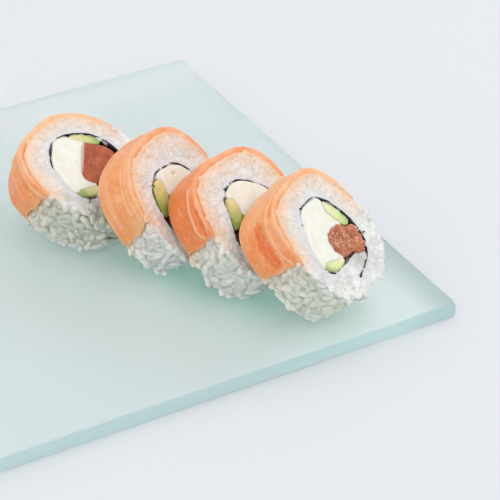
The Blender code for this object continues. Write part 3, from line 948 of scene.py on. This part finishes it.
def lost_nori_crumbs(piece, number, shape):
    """Small crumbs of rice pressed over the nori where the sheet is lost at the cut."""
    chance = np.random.default_rng(SEED + 50 + number)
    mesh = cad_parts[piece.name + "_nori"].data
    local = piece.inside(np.array([vertex.co for vertex in mesh.vertices]))
    line = local[local[:, 2] > 0.3]
    line = line[nori_mark(piece, line) < -0.55]
    points, faces = [], []
    for index, spot in enumerate(line[::2]):
        turn = Matrix.Rotation(chance.uniform(0, math.pi), 3, "Z")
        crumb = shape[0] * chance.uniform(0.26, 0.4) @ np.array(turn)
        crumb = crumb + (*(spot[:2] + chance.normal(size=2) * 0.2), -chance.uniform(0.25, 0.5))
        faces += [tuple(index * len(crumb) + i for i in face) for face in shape[1]]
        points.append(piece.outside(crumb))
    return (np.concatenate(points) if points else np.empty((0, 3))), faces


def heap_of(name, points, faces):
    """Object from points in metres and their faces."""
    mesh = bpy.data.meshes.new(name)
    mesh.from_pydata(points.tolist(), [], faces)
    heap = bpy.data.objects.new(name, mesh)
    bpy.context.scene.collection.objects.link(heap)
    return heap


def mash_cuts(rice, piece):
    """Creases on both cuts, round the bits of grain that the knife pressed together."""
    spots = places(rice)
    on_cut = ease((np.abs(outward(rice) @ piece.axis()) - 0.55) / 0.3)
    local = piece.inside(spots)
    depth = np.zeros(len(spots))
    for index in np.nonzero(on_cut > 0.02)[0]:
        warp = noise.noise_vector(Vector(local[index]) / 1.8) * 0.5
        near = noise.voronoi(Vector(local[index]) / MASH_SIZE + warp)[0]
        depth[index] = near[1] - near[0]
    smooth = ease((lumps(local, 5.0, 60) + 0.35) / 0.6)
    crease = ease(1 - depth / 0.36) * on_cut * (0.45 + 0.55 * smooth)
    place(rice, spots - outward(rice) * (MASH_DEPTH * crease * MM)[:, None])


def hollows(thing):
    """How deep each point lies between its neighbours: 0 on the bumps, 1 in the gaps."""
    spots, ways = places(thing), outward(thing)
    smooth = thing.copy()
    smooth.data = thing.data.copy()
    bpy.context.scene.collection.objects.link(smooth)
    soften(smooth, 0.8, 24)
    rise = np.einsum("ij,ij->i", spots - places(smooth), ways) / MM
    bpy.data.objects.remove(smooth)
    return ease((0.10 - rise) / 0.45)


def rice_values(rice, piece, tones):
    """What the rice's material reads: each grain's tone, the stains, painted shade, and how far it is a
    side, with painted light near the plate.
    """
    spots = keep_off_plate(rice)
    local = piece.inside(spots)
    pink, mauve, bleed = rice_tints(piece, spots, local)
    side = ease(piece.from_cuts(local) / 1.6)
    # painted light: rice near the plate is made lighter and its sides less shaded, as if lit from the glass
    foot = ease(1 - (spots[:, 2] / MM - PLATE_TOP) / FOOT_HEIGHT)
    # painted shade: the hollows between grains are darker, more so on the sides
    gap = hollows(rice) * (0.6 + 0.4 * side) if rice.name.endswith("packed") else tones * 0
    # painted shade spots: rice in pockets of the cut is painted grey, as shade
    for x, y, reach, share in piece.painted_shade_spots:
        near = share * np.exp(-((local[:, 0] - x) ** 2 + (local[:, 1] - y) ** 2) / reach ** 2)
        gap = np.maximum(gap, near * ease((local[:, 2] + 2.5) / 1.5))
    write_values(
        rice, pink=pink * (1 - 0.65 * side), mauve=mauve, bleed=bleed * (1 - 0.4 * side),
        tone=tones + 0.75 * foot, gap=gap, side=side * SIDE_SHADE[piece.name] * (1 - 0.7 * foot))


def make_packed_rice(piece, number, shapes, finish_with):
    """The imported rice: half-sunk grains stuck together, mashed flat where the knife went through."""
    rice = make_rice_core(piece, number)
    spots, faces, owners = lay_grains(piece, number, shapes)
    local = piece.inside(spots * MM)
    chance = np.random.default_rng(SEED + 70 + number)
    top = chance.uniform(-0.12, 0.30, owners.max() + 1)[owners]
    top += 0.10 * lumps(local * (1, 1, 0), 1.6, number)
    top += piece.slump * 0.4 * ease((SLUMP_FROM - local[:, 1]) / 6.0)
    local[:, 2] = np.minimum(local[:, 2], top)
    below = (local[:, 2] < -piece.length) & (piece.name != "maki_1")
    local[below, 2] = np.maximum(local[below, 2], -piece.length - top[below])
    local = slumped(piece, local)
    crumbs, crumb_faces = lost_nori_crumbs(piece, number, shapes[3])
    heaps = [heap_of("grains", piece.outside(local), faces), heap_of("crumbs", crumbs, crumb_faces)]
    work_on(rice)
    for heap in heaps:
        heap.select_set(True)
    bpy.ops.object.join()
    remesh(rice, RICE_VOXEL[piece.name], 2)
    mash_cuts(rice, piece)
    search = KDTree(len(spots))
    for index, spot in enumerate(spots):
        search.insert(spot, index)
    search.balance()
    nearest = np.array([owners[search.find(spot)[1]] for spot in places(rice) / MM])
    rice_values(rice, piece, chance.random(owners.max() + 1)[nearest])
    return finish(rice, piece.name + "_rice", finish_with)


def make_loose_grains(piece, number, shapes, finish_with):
    """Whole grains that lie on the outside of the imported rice."""
    spots, faces, owners = lay_grains(piece, number, shapes, on_top=True)
    local = slumped(piece, piece.inside(spots * MM))
    rice = heap_of(piece.name + "_rice_grains", piece.outside(local), faces)
    tones = np.random.default_rng(SEED + 90 + number).random(owners.max() + 1)
    rice_values(rice, piece, tones[owners])
    return finish(rice, piece.name + "_rice", finish_with)


# ---------------------------------------------------------------- fillings

SPUR_SHARE = 0.75
NORI_RINGS = (0.4, 1.2, 3.0, 6.0)
NORI_LOST = -0.5
FILLING_PARTS = ("_nori", "_cream_cheese", "_avocado_upper", "_avocado_lower", "_salmon_core")


def nori_mark(piece, local):
    """How thick (above 0) or lost (below 0) the nori is near points of the slice."""
    total = np.zeros(len(local))
    for x, y, reach, amount in piece.nori_marks:
        total += amount * np.exp(-((local[:, 0] - x) ** 2 + (local[:, 1] - y) ** 2) / reach ** 2)
    return np.clip(total, -1.2, 1.5)


def add_spurs(sheet, piece):
    """Torn bits of nori, each a thin wedge that stands out of the cut."""
    for x0, y0, x1, y1 in piece.nori_spurs:
        x0, y0 = x1 + (x0 - x1) * SPUR_SHARE, y1 + (y0 - y1) * SPUR_SHARE
        deselect()
        bpy.ops.mesh.primitive_cube_add(size=1)
        spur = bpy.context.object
        with editing(spur):
            bpy.ops.mesh.subdivide(number_cuts=3)
        shape = places(spur)
        share = shape[:, 0] + 0.5
        run = np.array((x1 - x0, y1 - y0))
        side = np.array((-run[1], run[0])) / np.linalg.norm(run)
        width = 0.08 + 0.22 * share
        bow = 0.16 * np.sin(share * math.pi * 1.5)
        flat = np.array((x0, y0)) + share[:, None] * run + (shape[:, 1] * width + bow)[:, None] * side
        local = np.column_stack([flat, 0.22 + 0.10 * share + (shape[:, 2] - 0.5) * 1.0])
        place(spur, piece.outside(local))
        work_on(sheet)
        spur.select_set(True)
        bpy.ops.object.join()


def make_nori_sheet(piece, number, finish_with):
    """The sheet of nori: crinkled, with a torn edge that comes and goes at the cut."""
    sheet = copy_of(piece.name + "_nori", piece.name + "_nori_sheet")
    with editing(sheet):
        bpy.ops.mesh.subdivide(number_cuts=1)
    for depth in NORI_RINGS:
        for level in (-depth, -piece.length + depth):
            with editing(sheet):
                bpy.ops.mesh.bisect(
                    plane_co=piece.frame() @ Vector((0, 0, level)), plane_no=Vector(piece.axis()))
    local = piece.inside(places(sheet))
    crinkle = np.stack([lumps(local, 1.6, number), lumps(local, 1.6, number + 9)], -1)
    near_cut = ease(1 - piece.from_cuts(local) / 2.5)
    mark = nori_mark(piece, local)
    thicker = through(piece.frame().to_3x3().inverted().to_4x4(), outward(sheet)) * MM
    local[:, :2] += thicker[:, :2] * (-0.15 + 0.30 * mark)[:, None] * (mark > NORI_LOST)[:, None]
    local[:, :2] += crinkle * 0.30 * near_cut[:, None]
    torn = lumps(local * (1, 1, 0), 1.5, number + 4) * 0.32 - 0.06 + np.where(mark < 0, 1.1, 0.15) * mark
    local[:, 2] += (torn - 0.35) * near_cut * np.where(local[:, 2] > -piece.length / 2, 1, -1)
    place(sheet, piece.outside(local))
    add_spurs(sheet, piece)
    return finish(sheet, piece.name + "_nori", finish_with)


PIT_SPOT = (2.0, 6.7)
FILLING_VOXEL = 0.3
CREAM_VOXEL = 0.35


def make_cream_body(piece, number, finish_with):
    body = copy_of(piece.name + "_cream_cheese", piece.name + "_cream")
    remesh(body, CREAM_VOXEL, 7)
    local = piece.inside(places(body))
    ways = outward(body)
    swell = 0.20 * lumps(local, 4.5, number + 1) + 0.10 * lumps(local * (1.6, 0.5, 1), 1.6, number + 2)
    on_cut = ease((np.abs(ways @ piece.axis()) - 0.6) / 0.3)
    swell = swell * (0.4 + 0.6 * on_cut) + (1 - on_cut) * (0.42 - 0.30 * nori_mark(piece, local))
    place(body, places(body) + ways * (swell * MM)[:, None])
    pit = np.zeros(len(local))
    if piece.name == "maki_2":
        away = np.hypot(local[:, 0] - PIT_SPOT[0], (local[:, 1] - PIT_SPOT[1]) * 1.5)
        pit = ease(1 - away / 1.7) * (local[:, 2] > -3)
        place(body, places(body) - ways * (0.8 * pit * MM)[:, None])
    write_values(body, pit=pit * 0.8)
    return finish(body, piece.name + "_cream_cheese", finish_with)


# Where each wedge of avocado turns from yellow to green, across its slice's cut.
AVOCADO_RUNS = {
    "maki_1_avocado_upper": ((5.0, 11.5), (13.0, 4.0)),
    "maki_1_avocado_lower": ((-6.0, -9.0), (-13.5, -6.5)),
    "maki_2_avocado_upper": ((-6.0, 9.0), (-12.5, -1.0)),
    "maki_2_avocado_lower": ((5.0, -8.5), (12.5, -6.5)),
    "maki_3_avocado_upper": ((-6.5, 8.5), (-9.8, -1.0)),
    "maki_3_avocado_lower": ((5.0, -8.5), (12.0, -6.5)),
    "maki_4_avocado_upper": ((5.8, 8.8), (10.2, -1.5)),
    "maki_4_avocado_lower": ((-4.5, -9.0), (-13.5, -6.2)),
}

# How far each slice's avocado has turned from fresh lime to olive.
OLIVE = {"maki_1": 0.6, "maki_2": 1.0, "maki_3": 0.9, "maki_4": 0.0}


def make_avocado_wedge(node_name, piece, number, finish_with):
    body = copy_of(node_name, node_name.replace("avocado", "avocado_wedge"))
    remesh(body, FILLING_VOXEL, 7)
    local = piece.inside(places(body))
    ways = outward(body)
    start, end = np.array(AVOCADO_RUNS[node_name])
    run = end - start
    green = ((local[:, :2] - start) @ run) / (run @ run)
    across = np.abs(ways @ piece.axis())
    near_nori = distances(tree_of([piece.name + "_nori"]), places(body), 2.2) / 2.2
    # the dark rim lies along the nori (along the cheese for the front slice's upper wedge) and on the
    # wedge's edges: partly the dark flesh under the rind, partly painted shade where parts meet and edges
    # turn away
    dark_rim_by = "_cream_cheese" if node_name == "maki_4_avocado_upper" else "_nori"
    near_dark_rim = distances(tree_of([piece.name + dark_rim_by]), places(body), 2.2) / 2.2
    swell = 0.16 * lumps(local, 2.6, number + 3) + 0.30 + 0.12 * ease((across - 0.5) / 0.3)
    place(body, places(body) + ways * (swell * MM)[:, None])
    skin = np.maximum(0.8 * ease(1 - across / 0.6), ease(1 - near_dark_rim * 1.5))
    olive = np.full(len(local), OLIVE[piece.name])
    write_values(body, green=green + 0.35 * (1 - near_nori), skin=skin, olive=olive)
    return finish(body, node_name, finish_with)


MUSCLE_BAND = 2.6
# the first slice's core gets a pale streak along its top-left edge: partly fatty flesh, partly a painted
# highlight
FAT_AND_SHEEN_RIM = ((-5.0, -0.5), (7.0, 6.6))


def make_core(piece, number, fibrous, finish_with):
    body = copy_of(piece.name + "_salmon_core", piece.name + "_salmon_strip")
    remesh(body, FILLING_VOXEL, 4)
    local = piece.inside(places(body))
    ways = outward(body)
    if fibrous:
        bent = local + 0.9 * np.stack([lumps(local, 2.2, 1), lumps(local, 2.2, 2), lumps(local, 2.2, 3)], -1)
        relief = 0.40 * (1 - 2.6 * np.abs(lumps(bent, 1.7, number)))
    else:
        relief = 0.38 * lumps(local, 4.6, number) + 0.06 * lumps(local, 1.0, number)
    place(body, places(body) + ways * ((relief + 0.25) * MM)[:, None])
    fat = np.zeros(len(local))
    if piece.name == "maki_1":
        fat = 0.7 * ease(1 - from_run(local[:, :2], *np.array(FAT_AND_SHEEN_RIM)) / 0.9)
    bands = (local[:, 0] * -0.51 + local[:, 1] * 0.86) / MUSCLE_BAND + 0.5 * lumps(local, 5.0, number + 7)
    write_values(body, fat=fat, run=bands)
    return finish(body, piece.name + "_salmon_core", finish_with)


# ---------------------------------------------------------------- set

def make_table_top(finish_with):
    deselect()
    bpy.ops.mesh.primitive_plane_add(size=6.0, location=(0, 0, 0))
    table = bpy.context.object
    table.name = "table_top"
    spots = places(table)
    spots[:, 2] = -0.0003
    place(table, spots)
    table.data.materials.append(finish_with)


def make_light(name, spot, aim, size, power, colour):
    deselect()
    bpy.ops.object.light_add(type="AREA", location=spot)
    light = bpy.context.object
    light.name = name
    light.data.shape = "DISK"
    light.data.size = size
    light.data.energy = power
    light.data.color = colour
    light.rotation_euler = (Vector(aim) - Vector(spot)).to_track_quat("-Z", "Y").to_euler()
    return light


def make_set():
    make_table_top(make_table())
    make_light("window", (0.70, -0.05, 1.05), (0.03, -0.03, 0.02), 1.5, 3.6, (1.0, 0.985, 0.96))
    make_light("fill", (-0.75, -0.45, 0.70), (0.03, -0.03, 0.02), 1.0, 1.3, (1.0, 0.99, 0.98))
    world = bpy.data.worlds.new("studio")
    bpy.context.scene.world = world
    world.use_nodes = True
    sky = world.node_tree.nodes["Background"]
    sky.inputs["Color"].default_value = (0.965, 0.98, 1.0, 1)
    sky.inputs["Strength"].default_value = 0.91
    bpy.ops.object.camera_add(
        location=(-0.27716, -0.61813, 0.45086),
        rotation=(math.radians(56.387), 0, math.radians(-29.684)))
    camera = bpy.context.object
    camera.data.lens = 162.0
    camera.data.sensor_width = 36.0
    camera.data.clip_start = 0.01
    bpy.context.scene.camera = camera
    bpy.context.scene.view_settings.view_transform = "Standard"


def make_slice(piece, number, finishes, shapes):
    fibrous = piece.name == "maki_4"
    make_salmon_sheet(piece, number, finishes["salmon"])
    make_packed_rice(piece, number, shapes, finishes["rice"])
    make_loose_grains(piece, number, shapes, finishes["rice"])
    make_nori_sheet(piece, number, finishes["nori"])
    make_cream_body(piece, number, finishes["cream"])
    for which in ("_avocado_upper", "_avocado_lower"):
        make_avocado_wedge(piece.name + which, piece, number, finishes["avocado"])
    make_core(piece, number, fibrous, finishes["shreds" if fibrous else "strip"])


def main():
    finishes = {
        "salmon": make_salmon(),
        "rice": make_rice(),
        "nori": make_nori(),
        "cream": make_cream(),
        "avocado": make_avocado(),
        "shreds": make_salmon_shreds(),
        "strip": make_salmon_strip(),
    }
    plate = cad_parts["plate"]
    plate.data.materials.clear()
    plate.data.materials.append(make_glass())
    shapes = [make_grain_shape(*kind) for kind in GRAIN_KINDS]
    for number, piece in enumerate(SLICES, start=1):
        make_slice(piece, number, finishes, shapes)
    make_set()


main()
